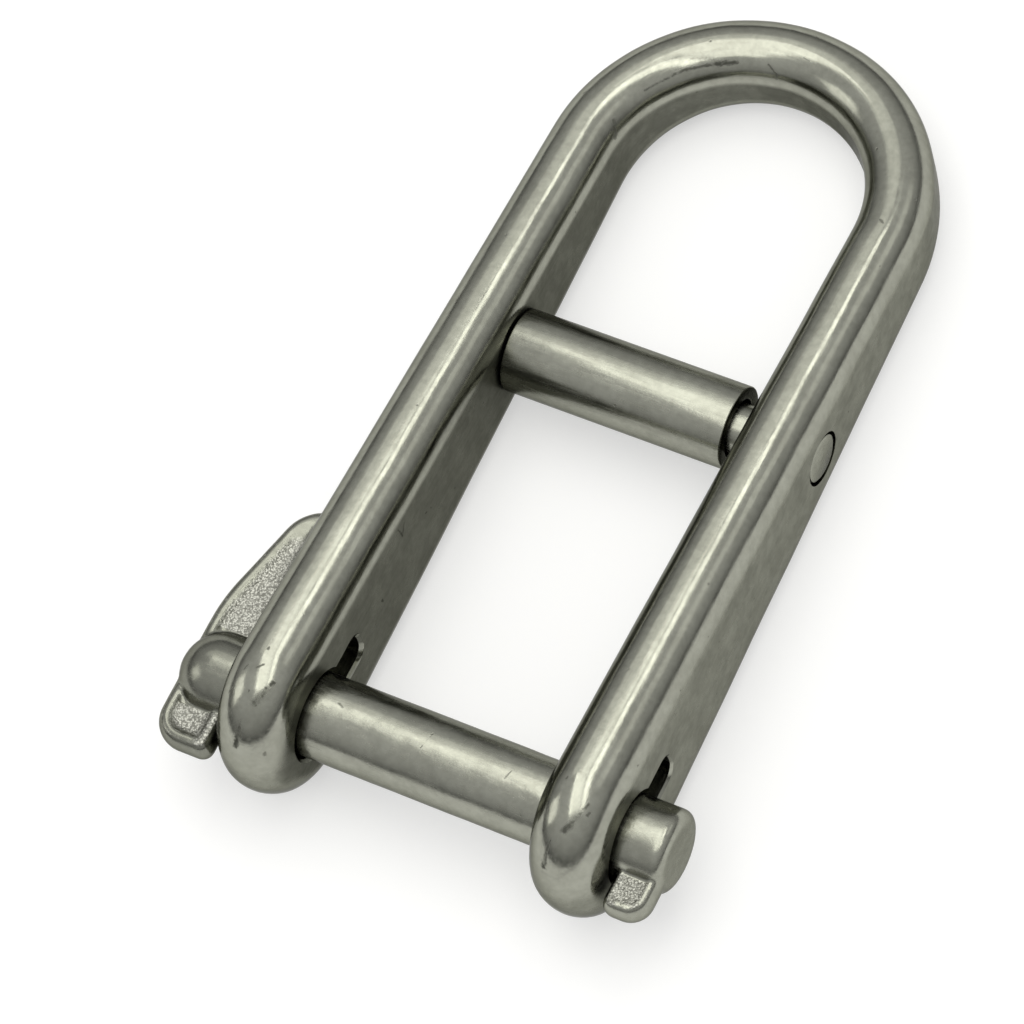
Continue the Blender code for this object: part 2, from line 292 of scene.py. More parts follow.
def plate(name, corners, radii, half_thick, edge_round, rims, panel_half):
    """A plate in the XY plane with a rounded rim and a sunk panel on each broad face."""
    levels = []
    for k in range(EDGE_STEPS + 1):
        angle = math.pi / 2 * k / EDGE_STEPS
        inset = edge_round * (1 - math.cos(angle))
        levels.append(([inset] * len(corners), half_thick * math.sin(angle)))
    for k in range(1, FALL_STEPS + 1):
        part = k / FALL_STEPS
        insets = [edge_round + (rim - edge_round) * part for rim in rims]
        fall = part * part * (3 - 2 * part)
        levels.append((insets, half_thick - (half_thick - panel_half) * fall))
    rows = []
    for insets, height in list(reversed(levels)) + levels[1:]:
        sign = 1.0 if len(rows) < len(levels) else -1.0
        rows.append([(p.x, p.y, sign * height) for p in inset_outline(corners, radii, insets)])
    return stacked(name, rows)


# Bow body


def leg_thickness(y):
    return LEG_THICK_EYE + (LEG_THICK_ARC - LEG_THICK_EYE) * y / PIN_TO_ARC


def outer_x(y):
    return INNER_X + leg_thickness(y)


def eye_tangent():
    """Angle of the eye where the straight edge of the leg leaves its outline."""
    along = (PIN_TO_ARC - EYE_SHIFT) / EYE_SQUASH
    across = ARC_DEPTH / 2
    return math.pi / 2 - (math.atan2(across, along) + math.acos(EYE_R / math.hypot(along, across)))


TANGENT = eye_tangent()
TANGENT_Y = EYE_SHIFT + EYE_R * EYE_SQUASH * math.sin(TANGENT)
TANGENT_Z = EYE_R * math.cos(TANGENT)
EDGE_SLOPE = (TANGENT_Z - ARC_DEPTH / 2) / (PIN_TO_ARC - TANGENT_Y)


def half_section(reach, thickness):
    """(across, depth) points over the round of one edge, from mid depth inside to mid depth outside."""
    radius = thickness / 2
    flat = reach - radius
    points = [(-1.0, flat * k / FLAT_STEPS) for k in range(FLAT_STEPS)]
    for k in range(ROUND_STEPS + 1):
        angle = math.pi * k / ROUND_STEPS - math.pi / 2
        points.append((math.sin(angle), flat + radius * math.cos(angle)))
    return points + [(1.0, flat * k / FLAT_STEPS) for k in reversed(range(FLAT_STEPS))]


def leg_point(side, across, y, z):
    x = INNER_X + (across + 1) / 2 * leg_thickness(y)
    return (side * x, y, z)


def ring(reach, thickness, place):
    half = half_section(reach, thickness)
    upper = [place(across, depth) for across, depth in half]
    lower = [place(across, -depth) for across, depth in half]
    return upper + list(reversed(lower[1:-1]))


def eye_column(side, angle):
    points = []
    for across, depth in half_section(EYE_R, leg_thickness(EYE_SHIFT)):
        y = EYE_SHIFT - depth * EYE_SQUASH * math.sin(angle)
        points.append(leg_point(side, across, y, depth * math.cos(angle)))
    return points


def leg_ring(side, y):
    reach = TANGENT_Z - EDGE_SLOPE * (y - TANGENT_Y)
    return ring(reach, leg_thickness(y), lambda across, z: leg_point(side, across, y, z))


def arc_ring(angle):
    half_width = INNER_X + LEG_THICK_ARC / 2
    centre = Vector((half_width * math.cos(angle), PIN_TO_ARC + BOW_RISE * math.sin(angle), 0.0))
    out = Vector((BOW_RISE * math.cos(angle), half_width * math.sin(angle), 0.0)).normalized()
    rise = math.sin(angle)
    thickness = LEG_THICK_ARC + (CROWN_THICK - LEG_THICK_ARC) * rise
    depth = ARC_DEPTH + (CROWN_DEPTH - ARC_DEPTH) * rise

    def place(across, z):
        point = centre + out * (across * thickness / 2)
        return (point.x, point.y, z)

    return ring(depth / 2, thickness, place)


def wave(point, long, round_about):
    """Slow swell of a hand-polished surface, between -1 and 1."""
    there = Vector((point.x / round_about, point.y / long, point.z / round_about))
    finer = there * 2.3 + Vector((5.1, 1.7, 3.3))
    return 0.7 * noise.noise(there) + 0.3 * noise.noise(finer)


def bow_blank(name):
    bm = bmesh.new()
    count = round((PIN_TO_ARC - TANGENT_Y) / LEG_ROW)
    leg_ys = [TANGENT_Y + (PIN_TO_ARC - TANGENT_Y) * k / count for k in range(1, count)]
    rows = [leg_ring(1.0, y) for y in leg_ys]
    rows += [arc_ring(math.pi * k / ARC_STEPS) for k in range(ARC_STEPS + 1)]
    rows += [leg_ring(-1.0, y) for y in reversed(leg_ys)]
    made = [[bm.verts.new(point) for point in row] for row in rows]
    for first, second in zip(made, made[1:]):
        bridge(bm, first, second)
    for side, row in ((1.0, made[0]), (-1.0, made[-1])):
        columns = []
        for k in range(EYE_STEPS + 1):
            angle = -TANGENT + (math.pi + 2 * TANGENT) * k / EYE_STEPS
            points = eye_column(side, angle)
            middle = [bm.verts.new(point) for point in points[1:-1]]
            if not columns:
                ends = [bm.verts.new(points[0]), bm.verts.new(points[-1])]
            columns.append([ends[0]] + middle + [ends[1]])
        for first, second in zip(columns, columns[1:]):
            bridge(bm, first, second, closed=False)
        upper, lower = columns[0], columns[-1]
        bridge(bm, upper + list(reversed(lower[1:-1])), row)
    bmesh.ops.recalc_face_normals(bm, faces=bm.faces)
    bm.normal_update()
    moves = [v.normal * BODY_WAVE * wave(v.co, BODY_WAVE_LONG, BODY_WAVE_ROUND) for v in bm.verts]
    for vertex, move in zip(bm.verts, moves):
        vertex.co += move
    return new_piece(name, bm)


def keyhole_row(x, grow):
    """Outline of the pin hole and its slot toward the bow, grown on every side."""
    radius = HOLE_R + grow
    half = SLOT_WIDTH / 2 + grow
    meet = math.asin(half / radius)
    corner = SLOT_CORNER
    points = []
    for k in range(HOLE_STEPS + 1):
        angle = meet + (2 * math.pi - 2 * meet) * k / HOLE_STEPS
        points.append((x, radius * math.cos(angle), radius * math.sin(angle)))
    end = SLOT_REACH + grow
    for middle, start in ((-half + corner, -math.pi / 2), (half - corner, 0.0)):
        for k in range(SLOT_CORNER_STEPS + 1):
            angle = start + math.pi / 2 * k / SLOT_CORNER_STEPS
            points.append((x, end - corner + corner * math.cos(angle), middle + corner * math.sin(angle)))
    return points


def keyhole_cutter(side):
    """Cutter for one eye, with rounded breaks at both faces."""
    face, back = INNER_X, outer_x(0.0)
    stations = [(face - KEYHOLE_OVER, HOLE_BREAK * 2)]
    for k in range(BREAK_STEPS + 1):
        turn = math.pi / 2 * k / BREAK_STEPS
        stations.append((face + HOLE_BREAK * math.sin(turn), HOLE_BREAK * (1 - math.sin(turn))))
    for k in range(BREAK_STEPS + 1):
        turn = math.pi / 2 * k / BREAK_STEPS
        stations.append((back - HOLE_BREAK * math.cos(turn), HOLE_BREAK * (1 - math.cos(turn))))
    stations.append((back + KEYHOLE_OVER, HOLE_BREAK * 2))
    return stacked("eye_cutter", [keyhole_row(side * x, grow) for x, grow in stations])


def bow_body():
    body = bow_blank("bow_body_fine")
    span = outer_x(PIN_TO_BAR) + ROD_HOLE_OVER
    profile = [(-span, 0.0), (-span, ROD_HOLE_R), (span, ROD_HOLE_R), (span, 0.0)]
    rod_hole = turned("rod_cutter", profile)
    rod_hole.data.transform(Matrix.Translation((0.0, PIN_TO_BAR, 0.0)))
    combine(body, [keyhole_cutter(-1.0), keyhole_cutter(1.0), rod_hole], "DIFFERENCE")
    clear_slivers(body)
    lay_down(body)
    smooth(body, BODY_CREASE)
    return body


# Bar


def bar_rivet():
    """The rod, with its edge rounded at each end."""
    half_way = ROD_EDGE * 0.3
    profile = [(-ROD_HALF, 0.0), (-ROD_HALF, ROD_R - ROD_EDGE)]
    profile += [(-ROD_HALF + half_way, ROD_R - half_way), (-ROD_HALF + ROD_EDGE, ROD_R)]
    profile += [(ROD_HALF - ROD_EDGE, ROD_R), (ROD_HALF - half_way, ROD_R - half_way)]
    profile += [(ROD_HALF, ROD_R - ROD_EDGE), (ROD_HALF, 0.0)]
    rod = turned("bar_rivet_fine", profile)
    rod.data.transform(Matrix.Translation((0.0, PIN_TO_BAR, 0.0)))
    lay_down(rod)
    smooth(rod, BAR_CREASE)
    return rod


def bar_sleeve():
    cut = SLEEVE_BREAK
    left, right = SLEEVE_LEFT, SLEEVE_RIGHT
    profile = []
    for x, radius, turn_x, turn_r in (
        (left + cut, SLEEVE_R - cut, -1.0, 1.0),
        (right - cut, SLEEVE_R - cut, 1.0, 1.0),
        (right - cut, SLEEVE_BORE_R + cut, 1.0, -1.0),
        (left + cut, SLEEVE_BORE_R + cut, -1.0, -1.0),
    ):
        arc = []
        for k in range(BREAK_STEPS + 1):
            angle = math.pi / 2 * k / BREAK_STEPS
            arc.append((x + turn_x * cut * math.cos(angle), radius + turn_r * cut * math.sin(angle)))
        profile += arc if turn_x * turn_r < 0 else list(reversed(arc))
    sleeve = turned("bar_sleeve_fine", profile, closed=True)
    sleeve.data.transform(Matrix.Translation((0.0, PIN_TO_BAR, 0.0)))
    lay_down(sleeve)
    smooth(sleeve, BAR_CREASE)
    return sleeve


# Key pin


def pin_shank():
    root = -outer_x(0.0) - CHEEK_CLEARANCE - HUB_ROOT
    profile = []
    for k in range(DOME_STEPS + 1):
        angle = math.pi / 2 * k / DOME_STEPS
        profile.append((root - HUB_DOME * math.cos(angle), PIN_R * math.sin(angle)))
    for k in range(EDGE_STEPS + 1):
        angle = math.pi / 2 * k / EDGE_STEPS
        x = PIN_END - PIN_END_ROUND * (1 - math.sin(angle))
        profile.append((x, PIN_R - PIN_END_ROUND * (1 - math.cos(angle))))
    profile.append((PIN_END, 0.0))
    return turned("key_pin_fine", profile)


def wing():
    root = -outer_x(0.0) - CHEEK_CLEARANCE
    corners = [
        (root, -WING_TAIL),
        (root, WING_ARM),
        (root - WING_TIP_WIDTH, WING_ARM - WING_TIP_FALL),
        (root - WING_WIDTH, WING_SHOULDER),
        (root - WING_WIDTH, -WING_TAIL),
    ]
    rims = [WING_LEG_RIM, WING_TIP_RIM, WING_ARM_RIM, WING_TAIL_RIM, WING_TAIL_RIM]
    return plate("wing", corners, WING_ROUNDS, WING_HALF_THICK, WING_EDGE_ROUND, rims, WING_PANEL_HALF)


def key_bit():
    root = outer_x(0.0) + CHEEK_CLEARANCE
    tip = outer_x(0.0) + PIN_STUB
    corners = [(root, 0.0), (root, -KEY_REACH), (tip, -KEY_REACH), (tip, 0.0)]
    return plate("key", corners, KEY_ROUNDS, KEY_HALF, KEY_EDGE_ROUND, KEY_RIMS, KEY_PANEL_HALF)


def key_pin():
    """One casting: the shank, wing and key fused, with small fillets where they meet."""
    pin = pin_shank()
    combine(pin, [wing(), key_bit()], "UNION")
    remesh = pin.modifiers.new("cast", "REMESH")
    remesh.mode = "VOXEL"
    remesh.voxel_size = CAST_VOXEL
    soften = pin.modifiers.new("soften", "SMOOTH")
    soften.factor = 0.5
    soften.iterations = CAST_SOFTENING
    freeze(pin)
    bm = bmesh.new()
    bm.from_mesh(pin.data)
    bm.normal_update()
    moves = [v.normal * CAST_WAVE * wave(v.co, CAST_WAVE_SIZE, CAST_WAVE_SIZE) for v in bm.verts]
    for vertex, move in zip(bm.verts, moves):
        vertex.co += move
    bm.to_mesh(pin.data)
    bm.free()
    lay_down(pin)
    smooth(pin, CAST_CREASE)
    return pin


# Materials


class Nodes:
    """Short calls for building one material's nodes."""

    def __init__(self, name):
        self.material = bpy.data.materials.new(name)
        self.material.use_nodes = True
        self.tree = self.material.node_tree
        self.shader = self.tree.nodes["Principled BSDF"]
        place = self.tree.nodes.new("ShaderNodeTexCoord")
        lift = REST.inverted()
        here, facing = place.outputs["Object"], place.outputs["Normal"]
        to_pin = {"Vector": here, "Location": lift.translation, "Rotation": (-SLOPE, 0.0, 0.0)}
        self.local = self.make("ShaderNodeMapping", to_pin, "Vector")
        split = self.tree.nodes.new("ShaderNodeSeparateXYZ")
        self.tree.links.new(self.local, split.inputs[0])
        self.x, self.y, self.z = split.outputs
        upward = self.vector("DOT_PRODUCT", facing, (0.0, -math.sin(SLOPE), math.cos(SLOPE)), "Value")
        self.facing_up = self.math("ABSOLUTE", upward)
        sideways = self.vector("DOT_PRODUCT", facing, (1.0, 0.0, 0.0), "Value")
        self.facing_end = self.math("ABSOLUTE", sideways)

    def feed(self, socket, value):
        if isinstance(value, bpy.types.NodeSocket):
            self.tree.links.new(value, socket)
        elif isinstance(value, tuple) and len(value) == 3 and socket.type == "RGBA":
            socket.default_value = (*value, 1.0)
        else:
            socket.default_value = value

    def make(self, kind, inputs, output, **settings):
        node = self.tree.nodes.new(kind)
        for key, value in settings.items():
            setattr(node, key, value)
        for key, value in inputs.items():
            self.feed(node.inputs[key], value)
        return node.outputs[output]

    def math(self, operation, first, second=0.0):
        return self.make("ShaderNodeMath", {0: first, 1: second}, "Value", operation=operation)

    def add(self, *values):
        total = values[0]
        for value in values[1:]:
            total = self.math("ADD", total, value)
        return total

    def times(self, *values):
        product = values[0]
        for value in values[1:]:
            product = self.math("MULTIPLY", product, value)
        return product

    def vector(self, operation, first, second, output="Vector"):
        return self.make("ShaderNodeVectorMath", {0: first, 1: second}, output, operation=operation)

    def combine(self, x, y, z):
        return self.make("ShaderNodeCombineXYZ", {0: x, 1: y, 2: z}, "Vector")

    def remap(self, value, low, high, to_low=0.0, to_high=1.0):
        inputs = {"Value": value, "From Min": low, "From Max": high, "To Min": to_low, "To Max": to_high}
        return self.make("ShaderNodeMapRange", inputs, "Result", interpolation_type="SMOOTHSTEP")

    def noise(self, scale, detail=3.0, roughness=0.55, vector=None):
        inputs = {"Vector": vector or self.local, "Scale": scale, "Detail": detail, "Roughness": roughness}
        return self.make("ShaderNodeTexNoise", inputs, "Fac")

    def mix(self, factor, first, second):
        node = self.tree.nodes.new("ShaderNodeMix")
        node.data_type = "RGBA"
        self.feed(node.inputs["Factor"], factor)
        self.feed(node.inputs[6], first)
        self.feed(node.inputs[7], second)
        return node.outputs[2]

    def bump(self, height, distance, strength):
        inputs = {"Height": height, "Distance": distance, "Strength": strength}
        return self.make("ShaderNodeBump", inputs, "Normal")

    def painted_corner_shade(self, reach):
        """Mask for painted shade in corners, from ambient occlusion: 1 deep in a corner and 0 in the open.
        """
        open_share = self.make("ShaderNodeAmbientOcclusion", {"Distance": reach}, "AO", samples=4)
        return self.remap(open_share, 0.75, 0.25)

    def spots(self, scale, size, density):
        """Small scattered pits: 1 inside a pit and 0 elsewhere."""
        inputs = {"Vector": self.local, "Scale": scale, "Randomness": 1.0}
        near = self.make("ShaderNodeTexVoronoi", inputs, "Distance")
        ragged = self.add(near, self.times(self.noise(scale * 3.0, 2.0), 0.25))
        pit = self.remap(ragged, size + 0.13, size + 0.02)
        return self.times(pit, self.remap(self.noise(scale * 0.31, 1.0), density, density + 0.06))

    def mark(self, start, end, radii, strength, ragged):
        """A scar between two points, given in mm: its strength inside and 0 elsewhere."""
        first = Vector(start) * MM
        along = Vector(end) * MM - first
        offset = self.vector("SUBTRACT", self.local, tuple(first))
        share = self.vector("DOT_PRODUCT", offset, tuple(along / along.length_squared), "Value")
        share = self.make("ShaderNodeClamp", {"Value": share}, "Result")
        reach = {0: tuple(along), "Scale": share}
        middle = self.make("ShaderNodeVectorMath", reach, "Vector", operation="SCALE")
        away = self.vector("DISTANCE", offset, middle, "Value")
        radius = self.add(radii[0] * MM, self.times(share, (radii[1] - radii[0]) * MM))
        ratio = self.add(self.math("DIVIDE", away, radius), ragged)
        return self.remap(ratio, 1.45, 0.3, 0.0, strength)

    def marks(self, scars):
        """The deepest of several scars at each point, broken up a little along their length."""
        rough_edge = self.noise(3400.0, 3.0, 0.7)
        ragged = self.times(self.math("SUBTRACT", rough_edge, 0.5), 2.6)
        deepest = self.mark(*scars[0], ragged)
        for scar in scars[1:]:
            deepest = self.math("MAXIMUM", deepest, self.mark(*scar, ragged))
        return self.times(deepest, self.remap(self.noise(1500.0, 2.0, 0.6), 0.3, 0.55, 0.3, 0.85))


# Colours of the steel, and the height and strength of its grain
STEEL_DARK = (0.275, 0.278, 0.235)
STEEL_LIGHT = (0.345, 0.35, 0.298)
GRAZING_TINT = (0.42, 0.42, 0.41)
BLASTED_DARK = (0.22, 0.22, 0.195)
BLASTED_LIGHT = (0.66, 0.66, 0.6)
# Near-black for pits and scars, and for painted shade in corners and on flat, inner and end faces
PITS_AND_PAINTED_SHADE = (0.03, 0.031, 0.025)
GRAIN_HEIGHT = 0.02 * MM
GRAIN_STRENGTH = 0.55

# Sizes of the textures, in cycles per metre
LINES_ALONG = 190.0
LINES_ACROSS = 2600.0
FINE_GRAIN = 5200.0
CLOUDS = 260.0
FINE_CLOUDS = 1300.0
PITS = 520.0

# Scars on the body, in mm from the pin's centre: start, end, radius at each, depth of tone
LEFT_EYE_SCARS = [
    ((-15.0, -3.95, 8.2), (-14.1, -1.8, 8.7), (0.32, 0.22), 0.95),
    ((-15.8, -3.2, 8.65), (-15.85, -6.0, 6.5), (0.07, 0.11), 0.75),
    ((-15.85, -6.0, 6.5), (-16.05, -7.25, 4.85), (0.12, 0.3), 0.95),
    ((-15.79, 0.83, 9.41), (-15.78, 0.95, 9.41), (0.14, 0.12), 0.8),
    ((-15.95, -1.2, 9.33), (-15.45, -0.7, 9.37), (0.12, 0.1), 0.8),
    ((-17.8, -3.75, 7.8), (-17.5, -3.4, 8.05), (0.18, 0.12), 0.7),
    ((-17.05, -1.6, 9.0), (-16.85, -1.15, 9.17), (0.12, 0.07), 0.6),
    ((-13.52, -6.7, 4.0), (-13.5, -6.5, 4.2), (0.2, 0.12), 0.5),
]
RIGHT_EYE_SCARS = [
    ((16.3, -4.4, 7.96), (17.46, -1.7, 8.81), (0.34, 0.12), 0.85),
    ((15.26, -5.44, 7.09), (15.06, -6.14, 6.25), (0.08, 0.16), 0.8),
    ((15.06, -6.14, 6.25), (14.95, -7.1, 4.75), (0.16, 0.3), 0.9),
    ((14.9, -7.4, 4.1), (16.32, -7.49, 4.15), (0.2, 0.2), 0.14),
    ((16.32, -7.49, 4.15), (17.71, -6.27, 5.37), (0.2, 0.2), 0.16),
    ((17.71, -6.27, 5.37), (18.22, -4.93, 6.41), (0.2, 0.1), 0.12),
    ((17.7, -2.5, 8.42), (17.78, -2.3, 8.44), (0.2, 0.14), 0.7),
    ((14.72, -0.36, 9.27), (14.75, -0.2, 9.28), (0.13, 0.1), 0.7),
]
BOW_SCARS = [
    ((-11.81, 67.15, 4.2), (-9.52, 70.49, 3.94), (0.12, 0.18), 0.8),
    ((-9.52, 70.49, 3.94), (-7.0, 72.4, 3.7), (0.18, 0.16), 0.85),
    ((-7.0, 72.4, 3.7), (-5.3, 73.25, 3.57), (0.3, 0.2), 0.95),
    ((-2.4, 74.15, 3.48), (-1.48, 73.75, 2.85), (0.1, 0.12), 0.65),
    ((-1.48, 73.75, 2.85), (-1.43, 73.5, 2.4), (0.14, 0.1), 0.7),
    ((-13.0, 63.1, 4.4), (-12.5, 62.0, 3.5), (0.2, 0.3), 0.55),
    ((0.7, 75.6, 4.17), (1.3, 75.5, 4.16), (0.12, 0.08), 0.5),
    ((15.2, 61.85, 5.5), (15.5, 61.65, 5.5), (0.13, 0.13), 0.6),
    ((-16.8, 64.6, 4.8), (-16.6, 64.8, 4.85), (0.12, 0.1), 0.5),
]
INNER_FACE_SCARS = [
    ((-12.28, 17.5, 4.6), (-12.28, 17.7, 3.1), (0.09, 0.12), 0.7),
    ((-12.28, 18.5, 4.2), (-12.28, 17.7, 3.1), (0.07, 0.1), 0.6),
    ((-12.28, 12.3, 0.1), (-12.28, 12.4, -0.3), (0.16, 0.1), 0.75),
    ((-12.28, 21.4, 0.9), (-12.28, 21.6, 0.7), (0.1, 0.08), 0.6),
    ((-12.28, 22.2, 0.5), (-12.28, 22.3, 0.3), (0.12, 0.08), 0.6),
]
PIN_SCARS = [
    ((-0.35, 0.9, 3.9), (-0.75, -0.8, 3.92), (0.07, 0.05), 0.6),
    ((7.6, -0.6, 3.95), (7.9, 0.3, 3.99), (0.09, 0.05), 0.5),
    ((-9.6, 0.35, 3.99), (-9.1, 0.1, 4.0), (0.1, 0.08), 0.5),
    ((22.38, 2.75, 2.9), (22.45, 2.9, 2.7), (0.18, 0.12), 0.5),
    ((-23.75, 8.6, 0.9), (-23.1, 6.2, 0.75), (0.14, 0.08), 0.8),
]


def tone_of(n):
    """Faint cloudy mottling of polished steel, around one half."""
    return n.add(n.times(n.noise(CLOUDS, 4.0, 0.6), 0.5), n.times(n.noise(FINE_CLOUDS, 3.0, 0.6), 0.5))


def steel_finish(n, colour, rough, height):
    n.feed(n.shader.inputs["Base Color"], colour)
    n.shader.inputs["Metallic"].default_value = 1.0
    n.feed(n.shader.inputs["Specular Tint"], GRAZING_TINT)
    n.feed(n.shader.inputs["Roughness"], rough)
    n.feed(n.shader.inputs["Normal"], n.bump(height, GRAIN_HEIGHT, GRAIN_STRENGTH))


def body_steel():
    """Tumbled and polished steel: bright on the rounded edges, dull on the flat faces, which are darkened
    with painted shade.
    """
    n = Nodes("polished_body")
    half_width = INNER_X + LEG_THICK_ARC / 2
    rise = n.times(n.math("MAXIMUM", n.math("SUBTRACT", n.y, PIN_TO_ARC), 0.0), half_width / BOW_RISE)
    out = n.math("SQRT", n.add(n.times(n.x, n.x), n.times(rise, rise)))
    flat = n.remap(n.facing_up, 0.2, 0.03)
    inner = n.times(flat, n.remap(out, INNER_X + 1.0 * MM, INNER_X + 0.2 * MM))
    run = n.times(n.add(n.y, n.times(n.x, 0.6)), LINES_ALONG)
    stretched = n.combine(n.times(out, LINES_ACROSS), n.times(n.z, LINES_ACROSS), run)
    lines = n.noise(1.0, 3.0, 0.6, stretched)
    pits = n.spots(560.0, 0.075, 0.48)
    nicks = n.times(n.spots(800.0, 0.06, 0.42), n.add(0.25, n.times(flat, 0.75)))
    scars = n.marks(LEFT_EYE_SCARS + RIGHT_EYE_SCARS + BOW_SCARS + INNER_FACE_SCARS)
    patches = n.remap(n.noise(430.0, 5.0, 0.65), 0.38, 0.62)
    colour = n.mix(n.remap(tone_of(n), 0.3, 0.7), STEEL_DARK, STEEL_LIGHT)
    # Painted shade: flat faces darkened, in patches, to stand for the shaded floor that they reflect
    colour = n.mix(n.times(flat, n.add(0.04, n.times(patches, 0.18))), colour, PITS_AND_PAINTED_SHADE)
    # Painted shade on the inner faces of the legs, which look across the opening at the other leg and the
    # shaded floor
    colour = n.mix(n.times(inner, 0.55), colour, PITS_AND_PAINTED_SHADE)
    # Painted shade in corners and where parts meet, from ambient occlusion
    colour = n.mix(n.times(n.painted_corner_shade(2.2 * MM), 0.75), colour, PITS_AND_PAINTED_SHADE)
    colour = n.mix(n.times(n.math("MAXIMUM", pits, nicks), 0.75), colour, PITS_AND_PAINTED_SHADE)
    colour = n.mix(scars, colour, PITS_AND_PAINTED_SHADE)
    gloss = n.add(n.remap(lines, 0.3, 0.7, 0.12, 0.23), n.times(pits, 0.3), n.times(scars, 0.4))
    gloss = n.add(gloss, n.times(flat, n.add(0.13, n.times(patches, 0.06))))
    grain = n.noise(FINE_GRAIN, 2.0, 0.6)
    crinkle = n.noise(1700.0, 2.0, 0.6)
    coarser = n.add(0.25, n.times(flat, 0.6))
    height = n.add(n.times(lines, 0.55), n.times(crinkle, 0.35), n.times(grain, coarser))
    height = n.math("SUBTRACT", height, n.add(n.times(pits, 3.0), n.times(nicks, 1.5)))
    steel_finish(n, colour, gloss, height)
    return n


def drawn_steel(name, rough, end_shade):
    """Bar and tube with fine marks along their length, and end faces darkened by the given share as painted
    shade.
    """
    n = Nodes(name)
    stretched = n.combine(n.times(n.x, LINES_ALONG), n.times(n.y, LINES_ACROSS), n.times(n.z, LINES_ACROSS))
    lines = n.noise(1.0, 3.0, 0.6, stretched)
    crinkle = n.noise(2100.0, 3.0, 0.65)
    pits = n.spots(PITS, 0.05, 0.5)
    colour = n.mix(n.remap(tone_of(n), 0.3, 0.7), STEEL_DARK, STEEL_LIGHT)
    # Painted shade in corners, from ambient occlusion
    colour = n.mix(n.times(n.painted_corner_shade(1.2 * MM), 0.75), colour, PITS_AND_PAINTED_SHADE)
    # Painted shade on the end faces, where the sleeve sits between the legs
    colour = n.mix(n.times(n.remap(n.facing_end, 0.8, 0.97), end_shade), colour, PITS_AND_PAINTED_SHADE)
    colour = n.mix(n.times(pits, 0.7), colour, PITS_AND_PAINTED_SHADE)
    gloss = n.add(n.remap(lines, 0.3, 0.7, rough - 0.05, rough + 0.09), n.times(pits, 0.3))
    height = n.add(n.times(lines, 0.7), n.times(crinkle, 0.6), n.times(n.noise(FINE_GRAIN, 2.0, 0.6), 0.35))
    steel_finish(n, colour, gloss, n.math("SUBTRACT", height, n.times(pits, 3.0)))
    return n


def cast_steel():
    """The key pin: a worn polished shank and rims, and grit-blasted sunk panels on the wing and the key. The
    wing side and the corners get painted shade.
    """
    n = Nodes("cast_key_pin")
    outside = n.remap(n.math("ABSOLUTE", n.x), outer_x(0.0) + 0.2 * MM, outer_x(0.0) + 0.4 * MM)
    ragged = n.times(n.math("SUBTRACT", n.noise(1900.0, 3.0, 0.7), 0.5), 0.5 * MM)
    depth = n.add(n.math("ABSOLUTE", n.z), ragged)
    off_axis = n.math("SQRT", n.add(n.times(n.y, n.y), n.times(n.z, n.z)))
    sunk = n.remap(depth, WING_HALF_THICK - 0.08 * MM, WING_HALF_THICK - 0.32 * MM)
    by_leg = n.remap(n.math("ABSOLUTE", n.x), outer_x(0.0) + 2.2 * MM, outer_x(0.0) + 1.6 * MM)
    broad = n.remap(n.facing_up, 0.7, 0.9)
    clear = n.remap(off_axis, PIN_R + 0.1 * MM, PIN_R + 0.3 * MM)
    short_of_tip = n.remap(n.y, WING_ARM - 3.4 * MM, WING_ARM - 4.8 * MM)
    key_end = outer_x(0.0) + PIN_STUB
    on_key = n.times(
        n.remap(n.x, 0.0, 1.0 * MM),
        n.remap(n.x, key_end - 0.6 * MM, key_end - 1.1 * MM),
        n.remap(n.y, 0.7 * MM - KEY_REACH, 1.2 * MM - KEY_REACH),
    )
    grainy = n.math("MAXIMUM", n.math("MAXIMUM", sunk, by_leg), on_key)
    blasted = n.times(outside, grainy, broad, clear, short_of_tip)
    stretched = n.combine(n.times(n.x, 420.0), n.times(n.y, 1700.0), n.times(n.z, 1700.0))
    lines = n.noise(1.0, 4.0, 0.65, stretched)
    crinkle = n.noise(1500.0, 4.0, 0.7)
    pits = n.spots(PITS, 0.05, 0.5)
    scars = n.marks(PIN_SCARS)
    grit = n.noise(5400.0, 3.0, 0.7)
    specks = n.make("ShaderNodeTexVoronoi", {"Vector": n.local, "Scale": 5200.0}, "Distance")
    colour = n.mix(n.remap(tone_of(n), 0.3, 0.7), STEEL_DARK, STEEL_LIGHT)
    speckle = n.remap(n.add(n.times(grit, 0.6), n.times(specks, 0.4)), 0.3, 0.62)
    rough_colour = n.mix(speckle, BLASTED_LIGHT, BLASTED_DARK)
    shaded_wing_side = n.remap(n.x, -outer_x(0.0) - 0.2 * MM, -outer_x(0.0) - 0.4 * MM)
    # Painted shade: the wing and hub outside the leg darkened, which dims their reflections
    colour = n.mix(n.times(shaded_wing_side, 0.3), colour, PITS_AND_PAINTED_SHADE)
    colour = n.mix(blasted, colour, rough_colour)
    # Painted shade in corners and where wing, key and shank meet, from ambient occlusion
    colour = n.mix(n.times(n.painted_corner_shade(1.2 * MM), 0.8), colour, PITS_AND_PAINTED_SHADE)
    colour = n.mix(n.math("MAXIMUM", n.times(pits, 0.7), scars), colour, PITS_AND_PAINTED_SHADE)
    gloss = n.add(n.remap(lines, 0.3, 0.7, 0.17, 0.3), n.times(pits, 0.3))
    gloss = n.add(gloss, n.times(scars, 0.3), n.times(blasted, 0.25))
    height = n.add(n.times(lines, 0.6), n.times(crinkle, 0.7), n.times(n.noise(FINE_GRAIN, 2.0, 0.6), 0.3))
    height = n.add(height, n.times(blasted, n.add(grit, specks), 4.0))
    height = n.math("SUBTRACT", height, n.add(n.times(pits, 3.0), n.times(scars, 4.0)))
    steel_finish(n, colour, gloss, height)
    return n


